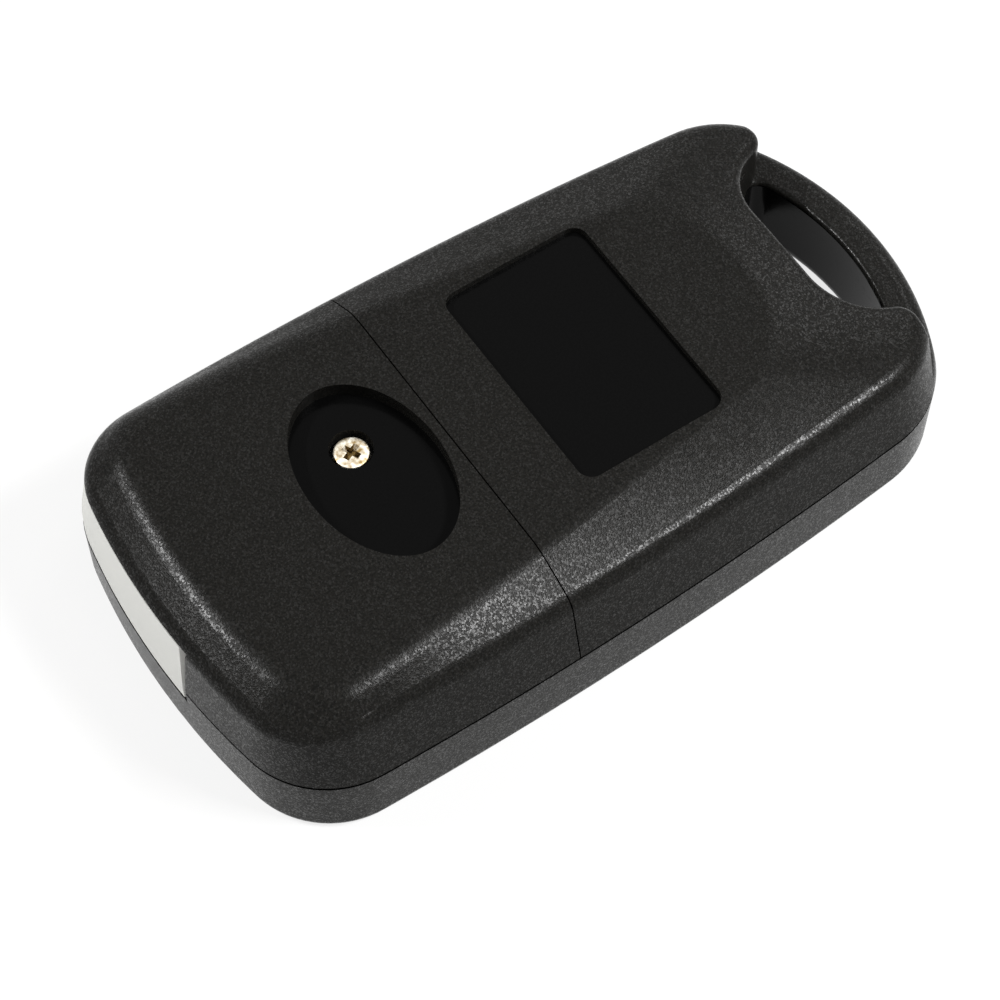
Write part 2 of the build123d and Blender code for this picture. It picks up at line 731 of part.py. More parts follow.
# Pivot pin, pressed into the rear cover
with BuildPart() as pivot_pin:
    with BuildSketch(Plane.XY.offset(pin_bottom_z)):
        with Locations((pivot_x, pivot_y)):
            Circle(pin_radius)
    extrude(amount=pin_top_z - pin_bottom_z)
    chamfer(pivot_pin.faces().sort_by(Axis.Z)[0].edges(), pin_chamfer)
pivot_pin.part.label = "pivot_pin"
export_step(pivot_pin.part, "parts/pivot_pin.step")

# Release button: cap in the front face, flange behind it, sleeve that runs up into the head
with BuildPart() as release_button:
    with BuildSketch(Plane.XY.offset(release_face_z)):
        with Locations((pivot_x, pivot_y)):
            Circle(release_radius)
    extrude(amount=release_floor_z - release_face_z)
    fillet(release_button.faces().sort_by(Axis.Z)[0].edges(), button_edge_radius)
    with BuildSketch(Plane.XY.offset(floor + seat_gap)):
        with Locations((pivot_x, pivot_y)):
            Circle(release_radius + release_flange)
    extrude(amount=release_floor_z - floor - seat_gap)
    with BuildSketch(Plane.XY.offset(release_floor_z)):
        with Locations((pivot_x, pivot_y)):
            Circle(release_stem_radius)
            Circle(release_stem_radius - release_stem_wall, mode=Mode.SUBTRACT)
    extrude(amount=release_stem_z - release_floor_z)
release_button.part.label = "release_button"
export_step(release_button.part, "parts/release_button.step")

# Coil spring between the button's floor and the roof of the head's cup
with BuildPart() as flip_spring:
    spring_rise = cup_top_z - release_floor_z - spring_wire - 2 * seat_gap
    with BuildLine() as coil:
        Helix(
            pitch=spring_rise / spring_turns,
            height=spring_rise,
            radius=spring_radius,
            center=(pivot_x, pivot_y, release_floor_z + spring_wire / 2 + seat_gap),
        )
    with BuildSketch(Plane(origin=coil.line @ 0, z_dir=coil.line % 0)):
        Circle(spring_wire / 2)
    sweep(is_frenet=True)
flip_spring.part.label = "flip_spring"
export_step(flip_spring.part, "parts/flip_spring.step")

# Key buttons: cap, flange that stops on the floor, nub over the switch
for name, x in zip(key_button_names, key_button_places):
    with BuildPart() as key_button:
        with BuildSketch(Plane.XY.offset(key_button_face_z)):
            with Locations((x, 0)):
                RectangleRounded(key_button_length, key_button_width, key_button_corner - button_clearance)
        extrude(amount=key_button_flange_z - key_button_face_z)
        fillet(key_button.faces().sort_by(Axis.Z)[0].edges(), button_edge_radius)
        with BuildSketch(Plane.XY.offset(key_button_flange_z)):
            with Locations((x, 0)):
                RectangleRounded(
                    key_button_length + 2 * key_button_flange,
                    key_button_width + 2 * key_button_flange,
                    key_button_corner,
                )
        extrude(amount=key_button_flange_height)
        with BuildSketch(Plane.XY.offset(key_button_flange_top_z)):
            with Locations((x, 0)):
                Circle(key_button_nub)
        extrude(amount=key_button_nub_z - key_button_flange_top_z)
    key_button.part.label = name + "_button"
    export_step(key_button.part, "parts/" + name + "_button.step")

# Tactile switches on the underside of the board, one over each button
for name, x in zip(key_button_names, key_button_places):
    with BuildPart() as tact_switch:
        with BuildSketch(Plane.XY.offset(board_z)):
            with Locations((x, 0)):
                Rectangle(switch_size, switch_size)
        extrude(amount=-switch_body)
        with BuildSketch(Plane.XY.offset(board_z - switch_body)):
            with Locations((x, 0)):
                Circle(switch_plunger_radius)
        extrude(amount=-switch_plunger)
        chamfer(tact_switch.edges().filter_by(Axis.Z), switch_chamfer)
    tact_switch.part.label = name + "_switch"
    export_step(tact_switch.part, "parts/" + name + "_switch.step")

# Circuit board, cut to the housing's curve and located on four stubs
with BuildPart() as circuit_board:
    with BuildSketch(Plane.XY.offset(board_z)) as board_plan:
        add(housing_plan(lip_inner_inset + board_clearance))
        with Locations(((board_start_x + board_end_x) / 2, 0)):
            Rectangle(board_end_x - board_start_x, body_width, mode=Mode.INTERSECT)
        fillet(board_plan.vertices(), board_corner)
        with Locations(*board_post_places):
            Circle(board_stub_radius + fit_gap, mode=Mode.SUBTRACT)
    extrude(amount=board_thickness)
circuit_board.part.label = "circuit_board"
export_step(circuit_board.part, "parts/circuit_board.step")

# Leaf contact under the cell: plate on the board and a tongue bent up to the cell
with BuildPart() as negative_contact:
    with BuildSketch(Plane.XZ.offset(-cell_y)):
        with BuildLine() as leaf:
            Polyline(
                (cell_x - contact_length / 2, board_top_z + contact_sheet / 2),
                (cell_x + contact_length / 4, board_top_z + contact_sheet / 2),
                (cell_x + contact_length / 2, board_top_z + contact_height - contact_sheet / 2),
                (cell_x, board_top_z + contact_height - contact_sheet / 2),
            )
        trace(line_width=contact_sheet)
    extrude(amount=contact_width / 2, both=True)
negative_contact.part.label = "negative_contact"
export_step(negative_contact.part, "parts/negative_contact.step")

# Lithium coin cell: wide can with the narrower cap below
with BuildPart() as coin_cell:
    with BuildSketch(Plane.XY.offset(cell_z)):
        with Locations((cell_x, cell_y)):
            Circle(cell_radius - cell_step)
    extrude(amount=cell_step)
    with BuildSketch(Plane.XY.offset(cell_z + cell_step)):
        with Locations((cell_x, cell_y)):
            Circle(cell_radius)
    extrude(amount=cell_height - cell_step)
    fillet(coin_cell.faces().sort_by(Axis.Z)[-1].edges(), cell_edge_radius)
coin_cell.part.label = "coin_cell"
export_step(coin_cell.part, "parts/coin_cell.step")

# Plastic ring on the board that keeps the cell in place, open at both ends for the clip
with BuildPart() as battery_holder:
    with BuildSketch(Plane.XY.offset(board_top_z)):
        with Locations((cell_x, cell_y)):
            Circle(cell_radius + holder_clearance + holder_wall)
            Circle(cell_radius + holder_clearance, mode=Mode.SUBTRACT)
            Rectangle(4 * cell_radius, clip_width + 2 * holder_wall, mode=Mode.SUBTRACT)
    extrude(amount=holder_height)
battery_holder.part.label = "battery_holder"
export_step(battery_holder.part, "parts/battery_holder.step")

# Sprung clip over the cell, with a foot on the board at each end
with BuildPart() as positive_clip:
    with BuildSketch(Plane.XZ.offset(-cell_y)):
        with BuildLine() as strap:
            Polyline(
                (cell_x - clip_reach - clip_foot, board_top_z + contact_sheet / 2),
                (cell_x - clip_reach, board_top_z + contact_sheet / 2),
                (cell_x - clip_reach, cell_z + cell_height + contact_sheet / 2),
                (cell_x + clip_reach, cell_z + cell_height + contact_sheet / 2),
                (cell_x + clip_reach, board_top_z + contact_sheet / 2),
                (cell_x + clip_reach + clip_foot, board_top_z + contact_sheet / 2),
            )
        trace(line_width=contact_sheet)
    extrude(amount=clip_width / 2, both=True)
positive_clip.part.label = "positive_clip"
export_step(positive_clip.part, "parts/positive_clip.step")

# Parts soldered to the top of the board
for name, end_gap, side_gap, length, width, height in board_chips:
    with BuildPart() as chip:
        with BuildSketch(Plane.XY.offset(board_top_z)):
            with Locations((board_end_x - end_gap, side_y - side_gap)):
                RectangleRounded(length, width, chip_corner)
        extrude(amount=height)
        chamfer(chip.faces().sort_by(Axis.Z)[-1].edges(), chip_chamfer)
    chip.part.label = name
    export_step(chip.part, "parts/" + name + ".step")

# Immobiliser chip in its frame on the front shell's floor
with BuildPart() as transponder_chip:
    with BuildSketch(Plane.XY.offset(floor)):
        with Locations((transponder_x, transponder_y)):
            Rectangle(transponder_length, transponder_width)
    extrude(amount=transponder_height)
    chamfer(transponder_chip.edges().filter_by(Axis.X), transponder_chamfer)
transponder_chip.part.label = "transponder_chip"
export_step(transponder_chip.part, "parts/transponder_chip.step")

# Cross-head screw through the rear cover into the front shell
with BuildPart() as cover_screw:
    with BuildSketch(Plane.XY.offset(screw_tip_z)):
        with Locations((screw_x, screw_y)):
            Circle(screw_shank_radius)
    extrude(amount=screw_seat_z - screw_tip_z)
    with BuildSketch(Plane.XY.offset(screw_seat_z)):
        with Locations((screw_x, screw_y)):
            Circle(screw_head_radius)
    extrude(amount=screw_head_height)
    fillet(cover_screw.faces().sort_by(Axis.Z)[-1].edges(), screw_head_round)
    with BuildSketch(Plane.XY.offset(screw_seat_z + screw_head_height)):
        with Locations((screw_x, screw_y)):
            Rectangle(screw_cross_length, screw_cross_width, rotation=screw_cross_turn)
            Rectangle(screw_cross_width, screw_cross_length, rotation=screw_cross_turn)
    extrude(amount=-screw_cross_depth, mode=Mode.SUBTRACT)
cover_screw.part.label = "cover_screw"
export_step(cover_screw.part, "parts/cover_screw.step")
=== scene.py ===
# %% [markdown]
# A folding key remote lies on its button face, with its plain rear side up.
# Its solids come from the CAD model. This script gives them the surfaces of the real thing:
# grained black plastic, smooth recess floors, a worn screw and a matte pale blade head.

import json
import math

import bpy
from mathutils import Matrix, Vector


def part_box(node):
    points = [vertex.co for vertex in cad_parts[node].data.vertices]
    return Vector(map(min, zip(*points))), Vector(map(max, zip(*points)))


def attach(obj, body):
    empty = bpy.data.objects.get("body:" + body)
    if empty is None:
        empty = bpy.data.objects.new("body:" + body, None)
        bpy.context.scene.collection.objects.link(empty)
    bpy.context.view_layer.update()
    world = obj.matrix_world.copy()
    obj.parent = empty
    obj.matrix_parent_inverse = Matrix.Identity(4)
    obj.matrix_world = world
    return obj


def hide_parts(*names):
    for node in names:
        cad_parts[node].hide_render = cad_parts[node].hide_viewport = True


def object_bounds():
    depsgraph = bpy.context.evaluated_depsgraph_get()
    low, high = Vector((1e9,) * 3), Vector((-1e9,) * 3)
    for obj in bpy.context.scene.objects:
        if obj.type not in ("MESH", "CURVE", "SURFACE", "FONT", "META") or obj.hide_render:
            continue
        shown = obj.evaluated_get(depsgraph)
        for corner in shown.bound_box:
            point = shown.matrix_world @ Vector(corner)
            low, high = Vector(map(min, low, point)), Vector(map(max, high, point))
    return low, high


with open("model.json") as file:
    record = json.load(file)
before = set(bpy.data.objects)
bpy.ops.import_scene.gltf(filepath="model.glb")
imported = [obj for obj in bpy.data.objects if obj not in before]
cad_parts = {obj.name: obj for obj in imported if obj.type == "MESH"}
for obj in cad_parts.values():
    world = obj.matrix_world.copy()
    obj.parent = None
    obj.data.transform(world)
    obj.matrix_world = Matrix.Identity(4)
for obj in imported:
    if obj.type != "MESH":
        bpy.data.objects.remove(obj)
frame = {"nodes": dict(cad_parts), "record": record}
nodes = frame["nodes"]
cad_box = [list(corner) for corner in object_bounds()]
MM = 0.001
print("CAD box in mm:", [[round(v / MM, 2) for v in corner] for corner in cad_box])


# %% [markdown]
# The photograph was taken with a long lens from above the near left corner.
# The camera is therefore given by the direction that it looks from, its distance and its lens,
# which are the numbers a photographer would note down.

# %% Camera
VIEW_TARGET = Vector((-4.400, -2.714, 5.244)) * MM
VIEW_BACK = Vector((-0.2919, -0.4302, 0.8542)).normalized()
VIEW_RIGHT = Vector((0.8275, -0.5615, 0.0)).normalized()
VIEW_DISTANCE = 306 * MM
CLIP_START = 10 * MM
LENS_MM = 137.5
SENSOR_MM = 36.0

camera_data = bpy.data.cameras.new("photo_camera")
camera_data.lens = LENS_MM
camera_data.sensor_width = SENSOR_MM
camera_data.clip_start = CLIP_START
camera = bpy.data.objects.new("photo_camera", camera_data)
bpy.context.scene.collection.objects.link(camera)
view_up = VIEW_BACK.cross(VIEW_RIGHT).normalized()
view_axes = Matrix((view_up.cross(VIEW_BACK), view_up, VIEW_BACK)).transposed().to_4x4()
camera.matrix_world = Matrix.Translation(VIEW_TARGET + VIEW_DISTANCE * VIEW_BACK) @ view_axes
bpy.context.scene.camera = camera
bpy.context.scene.view_settings.view_transform = "Standard"
print("camera at", [round(v / MM, 1) for v in camera.location])


# %% [markdown]
# Every material below is built from shader nodes.
# Colours are picked as sRGB hex values, as on a screen, and one function turns them into the
# linear values that the renderer works with. The others each add one kind of node and wire it
# up. Their owner is the material that the node belongs to, or the world.


# %% Material helpers
def srgb(hex_colour):
    """Linear red, green, blue and alpha of an sRGB hex colour."""
    channels = [int(hex_colour[i : i + 2], 16) / 255 for i in (0, 2, 4)]
    linear = [c / 12.92 if c <= 0.04045 else ((c + 0.055) / 1.055) ** 2.4 for c in channels]
    return (*linear, 1.0)


def wire(owner, target, links):
    """Sets a node's inputs to values, or connects them to other nodes' outputs."""
    for key, value in links.items():
        if isinstance(value, bpy.types.NodeSocket):
            owner.node_tree.links.new(value, target.inputs[key])
        else:
            target.inputs[key].default_value = value


def add_node(owner, kind, links, **settings):
    """Adds a shader node with its settings and links."""
    added = owner.node_tree.nodes.new(kind)
    for name, value in settings.items():
        setattr(added, name, value)
    wire(owner, added, links)
    return added


def new_material(name, **sockets):
    """A material whose shader has these constant sockets, and its Object coordinates."""
    material = bpy.data.materials.new(name)
    material.use_nodes = True
    shader = material.node_tree.nodes["Principled BSDF"]
    for socket, value in sockets.items():
        shader.inputs[socket.replace("_", " ")].default_value = value
    place = add_node(material, "ShaderNodeTexCoord", {}).outputs["Object"]
    return material, shader, place


def noise(owner, place, size_mm, detail=2.0):
    """A noise pattern whose lumps are about size_mm across."""
    settings = {"Vector": place, "Scale": 1 / (size_mm * MM), "Detail": detail}
    return add_node(owner, "ShaderNodeTexNoise", settings).outputs["Fac"]


# A Mix node has sockets for every kind of data under the same names, so the ones for colour
# are given by their numbers.
MIX_FACTOR, MIX_LOW, MIX_HIGH, MIX_RESULT = 0, 6, 7, 2


def between(owner, factor, low, high):
    """A colour that runs from low to high with the factor."""
    links = {MIX_FACTOR: factor, MIX_LOW: srgb(low), MIX_HIGH: srgb(high)}
    return add_node(owner, "ShaderNodeMix", links, data_type="RGBA").outputs[MIX_RESULT]


def spread(owner, factor, low, high, start=0.3, end=0.7):
    """A number that runs from low to high while the factor runs from start to end."""
    links = {"Value": factor, "From Min": start, "From Max": end, "To Min": low, "To Max": high}
    return add_node(owner, "ShaderNodeMapRange", links).outputs["Result"]


def combine(owner, operation, first, second):
    """One number made of two by a Math node, whose sockets share a name and are numbered."""
    links = {0: first, 1: second}
    return add_node(owner, "ShaderNodeMath", links, operation=operation).outputs[0]


def bump(owner, shader, height, distance_mm):
    """Lets a height pattern tilt the shader's normal."""
    links = {"Height": height, "Distance": distance_mm * MM, "Strength": 1.0}
    bumped = add_node(owner, "ShaderNodeBump", links)
    wire(owner, shader, {"Normal": bumped.outputs["Normal"]})


# %% [markdown]
# The housing is ABS, moulded in a tool whose surface was spark eroded.
# Each spark leaves a round crater, so the grain is a field of round cells. The real craters are
# too fine to show in the render, so they are drawn 0.12 mm across, which is as coarse as they
# need to be. A few craters have a glassy floor. They get a thin clear coat, and glint like
# pinpoints where a lamp glances off the shoulder.


# %% Grained ABS
ABS_IOR = 1.53
ABS_SPECULAR = 0.044
CRATER_MM = 0.12
MOTTLE_MM = 0.2
WEAR_MM = 9.0
WEAR_ROUGHNESS = 0.03
GLINT_FROM = 0.55
GLINT_IOR = 1.32
GLINT_ROUGHNESS = 0.24


def grained_plastic(name, dark, light, roughness, grain_height_mm, glint):
    """Moulded plastic with a spark eroded grain."""
    material, shader, place = new_material(name, IOR=ABS_IOR, Specular_IOR_Level=ABS_SPECULAR)
    pattern = {"Vector": place, "Scale": 1 / (CRATER_MM * MM)}
    cells = add_node(material, "ShaderNodeTexVoronoi", pattern)
    mottle = spread(material, noise(material, place, MOTTLE_MM), 0, 1)
    wear = noise(material, place, WEAR_MM)
    smooth, rough = roughness - WEAR_ROUGHNESS, roughness + WEAR_ROUGHNESS
    wire(material, shader, {
        "Base Color": between(material, mottle, dark, light),
        "Roughness": spread(material, wear, smooth, rough),
        "Coat Weight": spread(material, cells.outputs["Color"], 0, glint, GLINT_FROM, 1.0),
        "Coat IOR": GLINT_IOR,
        "Coat Roughness": GLINT_ROUGHNESS,
    })
    bump(material, shader, cells.outputs["Distance"], grain_height_mm)
    return material


grained_abs = grained_plastic("grained_abs", "0D0D0C", "1B1A18", 0.28, 0.008, 1.0)
button_abs = grained_plastic("fine_grained_abs", "1B1B1B", "232323", 0.5, 0.006, 0.2)
print("craters", CRATER_MM, "mm across")


# %% [markdown]
# The head of the blade is a zinc casting with a flat coat of pale grey paint.
# The paint fills the casting's skin, so only a faint orange peel is left in it.

# %% Painted zinc
PAINT_IOR = 1.5
PAINT_ROUGHNESS = (0.52, 0.6)
PEEL_MM = 0.8
PEEL_HEIGHT_MM = 0.01

painted_zinc, shader, place = new_material("painted_zinc_casting", IOR=PAINT_IOR)
peel = noise(painted_zinc, place, PEEL_MM)
wire(painted_zinc, shader, {
    "Base Color": between(painted_zinc, peel, "C1C1BD", "C8C8C4"),
    "Roughness": spread(painted_zinc, peel, *PAINT_ROUGHNESS),
})
bump(painted_zinc, shader, peel, PEEL_HEIGHT_MM)


# %% [markdown]
# Metals: the blade is cut from a nickel plated brass blank, with fine lengthwise marks from its
# milling. The pins and clips are plain steel. The screw is nickel plated, with worn patches, and
# its cross recess is painted a dark steel as painted shade.


# %% Metals
MARK_DETAIL = 3.0
MARK_HEIGHT_MM = 0.006
MARK_POLISH = 0.06
MARK_DULL = 0.08


def brushed_metal(name, dark, light, roughness, mark_mm, stretch):
    """Metal with fine marks, longest along the axis where stretch is smallest."""
    material, shader, place = new_material(name, Metallic=1.0)
    along = add_node(material, "ShaderNodeMapping", {"Vector": place, "Scale": stretch})
    marks = noise(material, along.outputs["Vector"], mark_mm, MARK_DETAIL)
    smooth, rough = roughness - MARK_POLISH, roughness + MARK_DULL
    wire(material, shader, {
        "Base Color": between(material, spread(material, marks, 0, 1), dark, light),
        "Roughness": spread(material, marks, smooth, rough),
    })
    bump(material, shader, marks, MARK_HEIGHT_MM)
    return material


ALONG_X, ALONG_Y, ALONG_Z, EVEN = (0.1, 1, 1), (1, 0.1, 1), (1, 1, 0.1), (1, 1, 1)
BLADE_MILLING = (0.05, 1, 1)
nickel_blade = brushed_metal("nickel_plated_blade", "A9A79F", "C9C7C0", 0.28, 0.3, BLADE_MILLING)
bright_steel = brushed_metal("bright_steel", "9A9A98", "BDBDBA", 0.3, 0.4, ALONG_Z)
spring_steel = brushed_metal("drawn_spring_steel", "6E6E70", "8C8C8E", 0.35, 0.3, EVEN)
worn_nickel = brushed_metal("worn_nickel_screw", "9C8250", "FFFCF0", 0.45, 0.45, EVEN)
# The dark steel for the screw's cross recess is painted shade
cross_painted_shade = brushed_metal("dark_steel_cross_shade", "2A2015", "8A7448", 0.4, 0.35, EVEN)
cell_steel = brushed_metal("satin_cell_can", "B5B5B2", "CFCFCB", 0.26, 0.5, ALONG_Y)
clip_steel = brushed_metal("plated_clip_sheet", "BDB49C", "D6CFBB", 0.3, 0.5, ALONG_X)


# %% [markdown]
# Inside, the electronics sit on a green board. Its solder mask is a thin gloss lacquer over
# copper tracks, which show as paler lines. The chips are matt black resin, and the ring round
# the cell is undyed nylon. The near-black at the end is the housing's own plastic where the mould
# is smooth, and it also stands as painted shade in the parting groove and the keyring slot.

# %% Electronics and plain plastics
PLASTIC_IOR = 1.5
MASK_ROUGHNESS = 0.3
TRACK_MM = 6.0
TRACK_LINE = 0.03
SPECK_ROUGHNESS = 0.05
SPECK_HEIGHT_MM = 0.008
PLAIN_SPECULAR = 0.5
POLISHED_HEIGHT_MM = 0.0005
POLISHED_SPECULAR = 0.04

board_laminate, shader, place = new_material("solder_mask_laminate", IOR=PLASTIC_IOR)
tracks = add_node(board_laminate, "ShaderNodeTexBrick", {
    "Vector": place, "Scale": 1 / (TRACK_MM * MM), "Mortar Size": TRACK_LINE,
    "Color1": srgb("0D4A2A"), "Color2": srgb("0E4F2D"), "Mortar": srgb("1F6E41"),
})
wire(board_laminate, shader, {"Base Color": tracks.outputs["Color"], "Roughness": MASK_ROUGHNESS})


def speckled_plastic(
    name, dark, light, roughness, speck_mm, height_mm=SPECK_HEIGHT_MM, specular=PLAIN_SPECULAR
):
    """Plain moulded material with faint specks."""
    material, shader, place = new_material(name, IOR=PLASTIC_IOR, Specular_IOR_Level=specular)
    specks = noise(material, place, speck_mm)
    smooth, rough = roughness - SPECK_ROUGHNESS, roughness + SPECK_ROUGHNESS
    wire(material, shader, {
        "Base Color": between(material, specks, dark, light),
        "Roughness": spread(material, specks, smooth, rough),
    })
    bump(material, shader, specks, height_mm)
    return material


chip_resin = speckled_plastic("chip_resin", "121212", "1C1C1C", 0.55, 0.15)
ferrite = speckled_plastic("ferrite_bar", "2A2523", "38312E", 0.6, 0.2)
holder_plastic = speckled_plastic("natural_nylon", "B9B4A4", "C6C1B2", 0.45, 0.6)
# Near black: the polished recess floors, and painted shade in the parting groove and keyring slot
polished_and_shade_black = speckled_plastic(
    "polished_abs_and_painted_shade", "050505", "080808", 0.18, 0.2, POLISHED_HEIGHT_MM, POLISHED_SPECULAR
)


# %% [markdown]
# Each CAD node gets the finish of its material slot.

# %% Finishes for the nodes
finishes = {
    "grained_abs": grained_abs,
    "nickel_screw": worn_nickel,
    "pin_steel": bright_steel,
    "spring_steel": spring_steel,
    "board_laminate": board_laminate,
    "switch_steel": bright_steel,
    "cell_steel": cell_steel,
    "holder_plastic": holder_plastic,
    "contact_steel": clip_steel,
    "chip_resin": chip_resin,
    "crystal_can": cell_steel,
    "ferrite": ferrite,
    "transponder_resin": chip_resin,
    "painted_zinc": painted_zinc,
    "blade_steel": nickel_blade,
    "button_plastic": button_abs,
}
slots = {row["node"]: row["material_slot"] for row in frame["record"]["subparts"]}
for name, node in nodes.items():
    node.data.materials.clear()
    node.data.materials.append(finishes[slots[name]])
print(len(nodes), "nodes dressed")


# %% [markdown]
# The floors of the two recesses were left polished in the mould. The next cell finds their faces
# by place: the floors look up from just under the top of the covers. It also finds the groove
# along the parting line, a thin band at the height of the joint, and the walls of the keyring
# slot inside the arc of the keyring bar, which are painted near black as painted shade. All of
# them get the smooth near-black finish as a second material.

# %% Polished floors and painted shade
RECESS_DEPTHS_MM = (0.3, 1.6)
UPWARD = 0.99
PARTING_Z_MM = 6.8
GROOVE_HALF_MM = 0.16
SLOT_START_MM = 24.0
SLOT_TOP_MM = 8.85
BAR_CENTRE_MM = 8.8
BAR_INNER_MM = 22.9
SIDEWAYS = 0.3
top_z = cad_box[1][2]


def is_polished_or_shaded(mesh, face):
    """Whether a face is a polished recess floor, or gets painted shade in the groove or the slot.
    """
    x, y, z = face.center / MM
    depth = top_z / MM - z
    recess_floor = face.normal.z > UPWARD and RECESS_DEPTHS_MM[0] < depth < RECESS_DEPTHS_MM[1]
    heights = [mesh.vertices[i].co.z / MM - PARTING_Z_MM for i in face.vertices]
    # The groove and the slot walls get the near-black as painted shade; only the floors are a
    # real polish
    groove = max(abs(height) for height in heights) < GROOVE_HALF_MM
    inside_bar = x > SLOT_START_MM and math.hypot(x - BAR_CENTRE_MM, y) < BAR_INNER_MM
    slot_wall = inside_bar and z < SLOT_TOP_MM and abs(face.normal.z) < SIDEWAYS
    return recess_floor or groove or slot_wall


for name in ("battery_cover", "pivot_cover", "front_shell"):
    mesh = nodes[name].data
    mesh.materials.append(polished_and_shade_black)
    polished_or_shaded = [face for face in mesh.polygons if is_polished_or_shaded(mesh, face)]
    for face in polished_or_shaded:
        face.material_index = 1
    print(name, len(polished_or_shaded), "polished faces")


# %% [markdown]
# The screw is the one bright spot of the rear side, so it gets a mesh of its own: a nearly flat
# head with a cross recess, over a helical thread. It is turned up from rings: each ring is the
# last one pushed up and scaled. The thread is then pressed into the shank by moving its points,
# two tapered bars cut the cross, and a small bevel wears the edges.


# %% Screw
def turned(name, rings_mm, sides):
    """A piece turned about Z from rings of (radius, height), lowest first."""
    bpy.ops.object.select_all(action="DESELECT")
    radius, height = rings_mm[0]
    bpy.ops.mesh.primitive_circle_add(vertices=sides, radius=radius * MM, fill_type="NGON")
    piece = bpy.context.object
    piece.name = name
    bpy.ops.object.mode_set(mode="EDIT")
    bpy.ops.mesh.select_all(action="SELECT")
    bpy.ops.transform.translate(value=(0, 0, height * MM))
    for next_radius, next_height in rings_mm[1:]:
        rise = (0, 0, (next_height - height) * MM)
        bpy.ops.mesh.extrude_region_move(TRANSFORM_OT_translate={"value": rise})
        share = next_radius / radius
        bpy.ops.transform.resize(value=(share, share, 1))
        radius, height = next_radius, next_height
    bpy.ops.mesh.select_all(action="SELECT")
    bpy.ops.mesh.normals_make_consistent(inside=False)
    bpy.ops.object.mode_set(mode="OBJECT")
    return piece


def tapered_bar(size_mm, turn, top_mm, foot_share):
    """A bar across the screw's axis that narrows downwards."""
    bpy.ops.object.select_all(action="DESELECT")
    bpy.ops.mesh.primitive_cube_add(size=MM)
    bar = bpy.context.object
    bpy.ops.object.mode_set(mode="EDIT")
    bpy.ops.mesh.select_all(action="SELECT")
    bpy.ops.transform.resize(value=size_mm)
    bpy.ops.mesh.select_all(action="DESELECT")
    bpy.ops.object.mode_set(mode="OBJECT")
    for vertex in bar.data.vertices:
        vertex.select = vertex.co.z < 0
    bpy.ops.object.mode_set(mode="EDIT")
    bpy.ops.transform.resize(value=(foot_share, foot_share, 1))
    bpy.ops.object.mode_set(mode="OBJECT")
    lift = Matrix.Translation((0, 0, top_mm * MM))
    bar.data.transform(lift @ Matrix.Rotation(math.radians(turn), 4, "Z"))
    return bar


def apply_modifier(piece, kind, **settings):
    """Adds a modifier to a piece and applies it."""
    bpy.ops.object.select_all(action="DESELECT")
    piece.select_set(True)
    bpy.context.view_layer.objects.active = piece
    modifier = piece.modifiers.new(kind.lower(), kind)
    for name, value in settings.items():
        setattr(modifier, name, value)
    bpy.ops.object.modifier_apply(modifier=modifier.name)


SCREW_SIDES = 48
THREAD_PITCH_MM = 0.8
THREAD_DEPTH_MM = 0.22
THREAD_STEP_MM = 0.1
# How much faster than a plain V the groove reaches its depth, which leaves a flat at its root
THREAD_FLANK = 1.6
SHANK_RADIUS_MM = 0.94
TIP_MM = 0.8
TIP_RADII_MM = (0.25, 0.6)
HEAD_HEIGHT_MM = 1.0
# The drawn head is a hair smaller than the CAD head that it stands for
HEAD_FIT = 0.995
# The head's rings: share of its radius, and depth under its top in mm
HEAD_RINGS = [
    (1.0, 1.0), (1.0, 0.3), (0.99, 0.2), (0.95, 0.1), (0.85, 0.04), (0.6, 0.01), (0.3, 0.0),
]
CROSS_MM = (2.1, 0.7, 1.3)
CROSS_TURN = 24.0
CROSS_FOOT_SHARE = 0.5
EDGE_WEAR_MM = 0.05
EDGE_ANGLE = 40.0
SMOOTH_ANGLE = 32.0
RECESS_FROM_MM = 0.16

screw_low, screw_high = (Vector(corner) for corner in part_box("cover_screw"))
screw_axis = (screw_low + screw_high) / 2
head_radius_mm = (screw_high.x - screw_low.x) / 2 / MM * HEAD_FIT
tip_z, head_top_z = screw_low.z / MM, screw_high.z / MM
seat_z = head_top_z - HEAD_HEIGHT_MM
shank_z = tip_z + TIP_MM
shank_mm = seat_z - tip_z - TIP_MM
steps = round(shank_mm / THREAD_STEP_MM)
rings = list(zip(TIP_RADII_MM, (tip_z, tip_z + TIP_MM / 2)))
rings += [(SHANK_RADIUS_MM, shank_z + i * shank_mm / steps) for i in range(steps + 1)]
rings += [(share * head_radius_mm, head_top_z - depth) for share, depth in HEAD_RINGS]
screw = turned("worn_cross_screw", rings, SCREW_SIDES)
for vertex in screw.data.vertices:
    height = vertex.co.z / MM
    reach = vertex.co.xy.length / MM
    on_shank = reach < SHANK_RADIUS_MM + THREAD_STEP_MM
    if on_shank and shank_z < height < seat_z - THREAD_PITCH_MM:
        around = math.atan2(vertex.co.y, vertex.co.x) / math.tau
        turn = (height / THREAD_PITCH_MM - around) % 1
        press = THREAD_DEPTH_MM * min(1, abs(2 * turn - 1) * THREAD_FLANK)
        vertex.co.xy *= (reach - press) / reach
for quarter in (0, 90):
    bar = tapered_bar(CROSS_MM, CROSS_TURN + quarter, head_top_z, CROSS_FOOT_SHARE)
    apply_modifier(screw, "BOOLEAN", operation="DIFFERENCE", solver="EXACT", object=bar)
    bpy.data.objects.remove(bar)
edge_wear = {"width": EDGE_WEAR_MM * MM, "angle_limit": math.radians(EDGE_ANGLE)}
apply_modifier(screw, "BEVEL", segments=2, limit_method="ANGLE", **edge_wear)
screw.data.transform(Matrix.Translation((screw_axis.x, screw_axis.y, 0)))
screw.data.materials.clear()
screw.data.materials.append(worn_nickel)
screw.data.materials.append(cross_painted_shade)
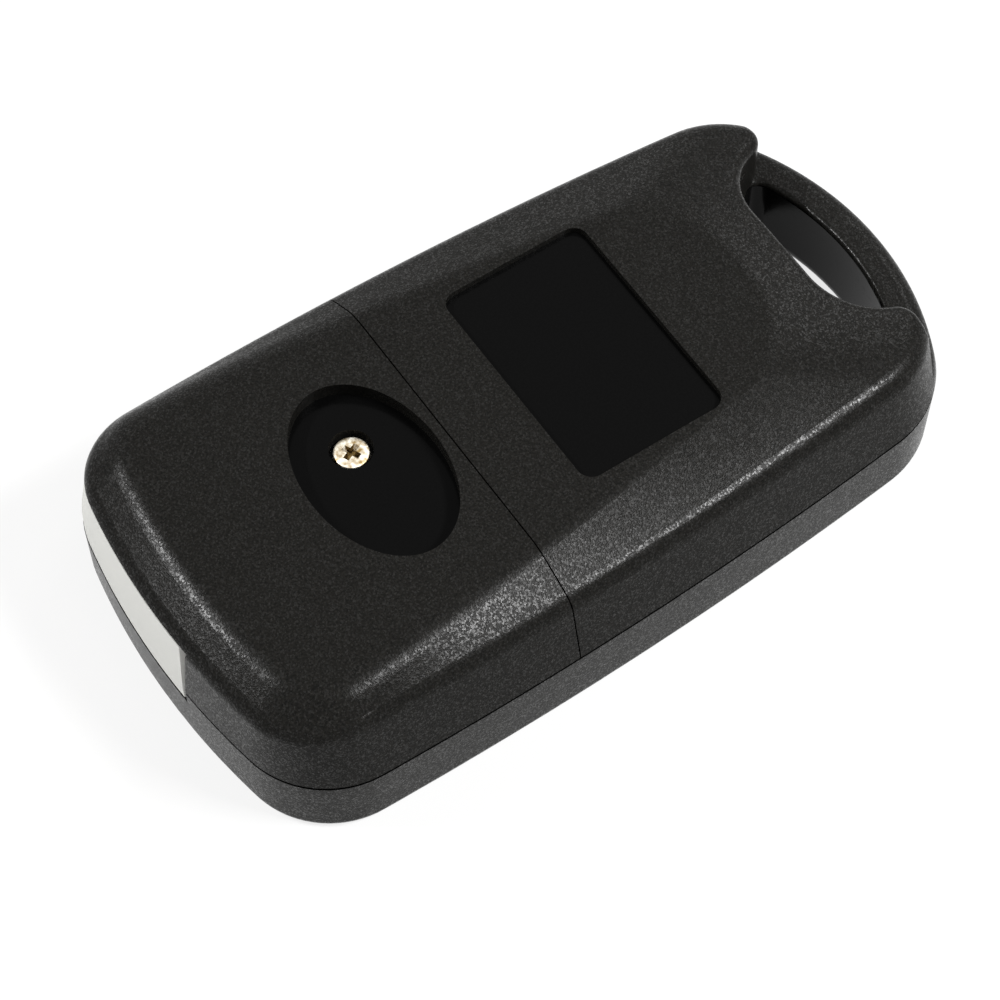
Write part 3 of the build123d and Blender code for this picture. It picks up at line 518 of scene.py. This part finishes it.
# Faces down in the cross get the dark steel, as painted shade in the recess
for face in screw.data.polygons:
    depth = head_top_z - face.center.z / MM
    reach = (face.center.xy - screw_axis.xy).length / MM
    if RECESS_FROM_MM < depth < HEAD_HEIGHT_MM and reach < CROSS_MM[0] / 2:
        face.material_index = 1
bpy.ops.object.shade_smooth_by_angle(angle=math.radians(SMOOTH_ANGLE))
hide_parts("cover_screw")
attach(screw, "housing")
print("screw faces:", len(screw.data.polygons))


# %% [markdown]
# The floor is a pale sheet that keeps the soft shadow. The camera and the reflections see it
# almost white, because a share of its own glow is mixed in for those rays alone, so it throws
# no extra light on the object. The world in the next cell is told about its rays in the same way.

# %% Floor
FLOOR_SIZE = 4.0
SHEET_ROUGHNESS = 0.9
SHEET_SPECULAR = 0.1
SHEET_CLOUD_MM = 400.0
GLOW_SHARE = 0.8
WHITE = (1, 1, 1, 1)


def seen_rays(owner):
    """One for the rays that show a surface, straight or in gloss or glass, and zero for light."""
    path = add_node(owner, "ShaderNodeLightPath", {}).outputs
    seen = combine(owner, "MAXIMUM", path["Is Camera Ray"], path["Is Glossy Ray"])
    return combine(owner, "MAXIMUM", seen, path["Is Transmission Ray"])


bpy.ops.object.select_all(action="DESELECT")
bpy.ops.mesh.primitive_plane_add(size=FLOOR_SIZE, location=(0, 0, cad_box[0][2]))
floor = bpy.context.object
floor.name = "studio_floor"
pale_sheet, shader, place = new_material(
    "pale_sheet", Roughness=SHEET_ROUGHNESS, Specular_IOR_Level=SHEET_SPECULAR
)
cloud = noise(pale_sheet, place, SHEET_CLOUD_MM)
wire(pale_sheet, shader, {"Base Color": between(pale_sheet, cloud, "F0F0EF", "F4F4F3")})
share = combine(pale_sheet, "MULTIPLY", seen_rays(pale_sheet), GLOW_SHARE)
glow = add_node(pale_sheet, "ShaderNodeEmission", {"Color": WHITE, "Strength": 1.0})
layers = {0: share, 1: shader.outputs[0], 2: glow.outputs[0]}
blend = add_node(pale_sheet, "ShaderNodeMixShader", layers)
output = pale_sheet.node_tree.nodes["Material Output"]
wire(pale_sheet, output, {"Surface": blend.outputs[0]})
floor.data.materials.append(pale_sheet)


# %% [markdown]
# Light: an even pale room and five soft lamps. A glossy bend shines where it mirrors a lamp
# towards the camera, so each lamp is placed for one bend: one behind the blade end for its
# shoulder, one high on the near right for the near shoulder, and two weak ones for the ring end
# and the far shoulder. The last one fills the near left.

# %% Light
WORLD_LEVEL = 0.17
LAMP_TARGET = Vector((0, 0, 8)) * MM

world = bpy.data.worlds.new("studio_world")
bpy.context.scene.world = world
world.use_nodes = True
backdrop = world.node_tree.nodes["Background"]
strength = spread(world, seen_rays(world), WORLD_LEVEL, 1.0, start=0, end=1)
wire(world, backdrop, {"Color": WHITE, "Strength": strength})


def soft_lamp(name, place_mm, size_mm, watts):
    """A rectangular area lamp that faces the middle of the object."""
    data = bpy.data.lights.new(name, "AREA")
    data.shape = "RECTANGLE"
    data.size, data.size_y = (v * MM for v in size_mm)
    data.energy = watts
    lamp = bpy.data.objects.new(name, data)
    bpy.context.scene.collection.objects.link(lamp)
    lamp.location = Vector(place_mm) * MM
    away = lamp.location - LAMP_TARGET
    lamp.rotation_euler = away.to_track_quat("Z", "Y").to_euler()


soft_lamp("blade_end_lamp", (-266, 208, 329), (150, 22), 1.5)
soft_lamp("near_right_lamp", (205, -210, 378), (190, 78), 2.9)
soft_lamp("far_right_lamp", (300, 150, 330), (150, 150), 0.2)
soft_lamp("far_side_lamp", (205, 397, 156), (200, 100), 0.05)
soft_lamp("fill_lamp", (-420, -330, 210), (300, 220), 0.08)
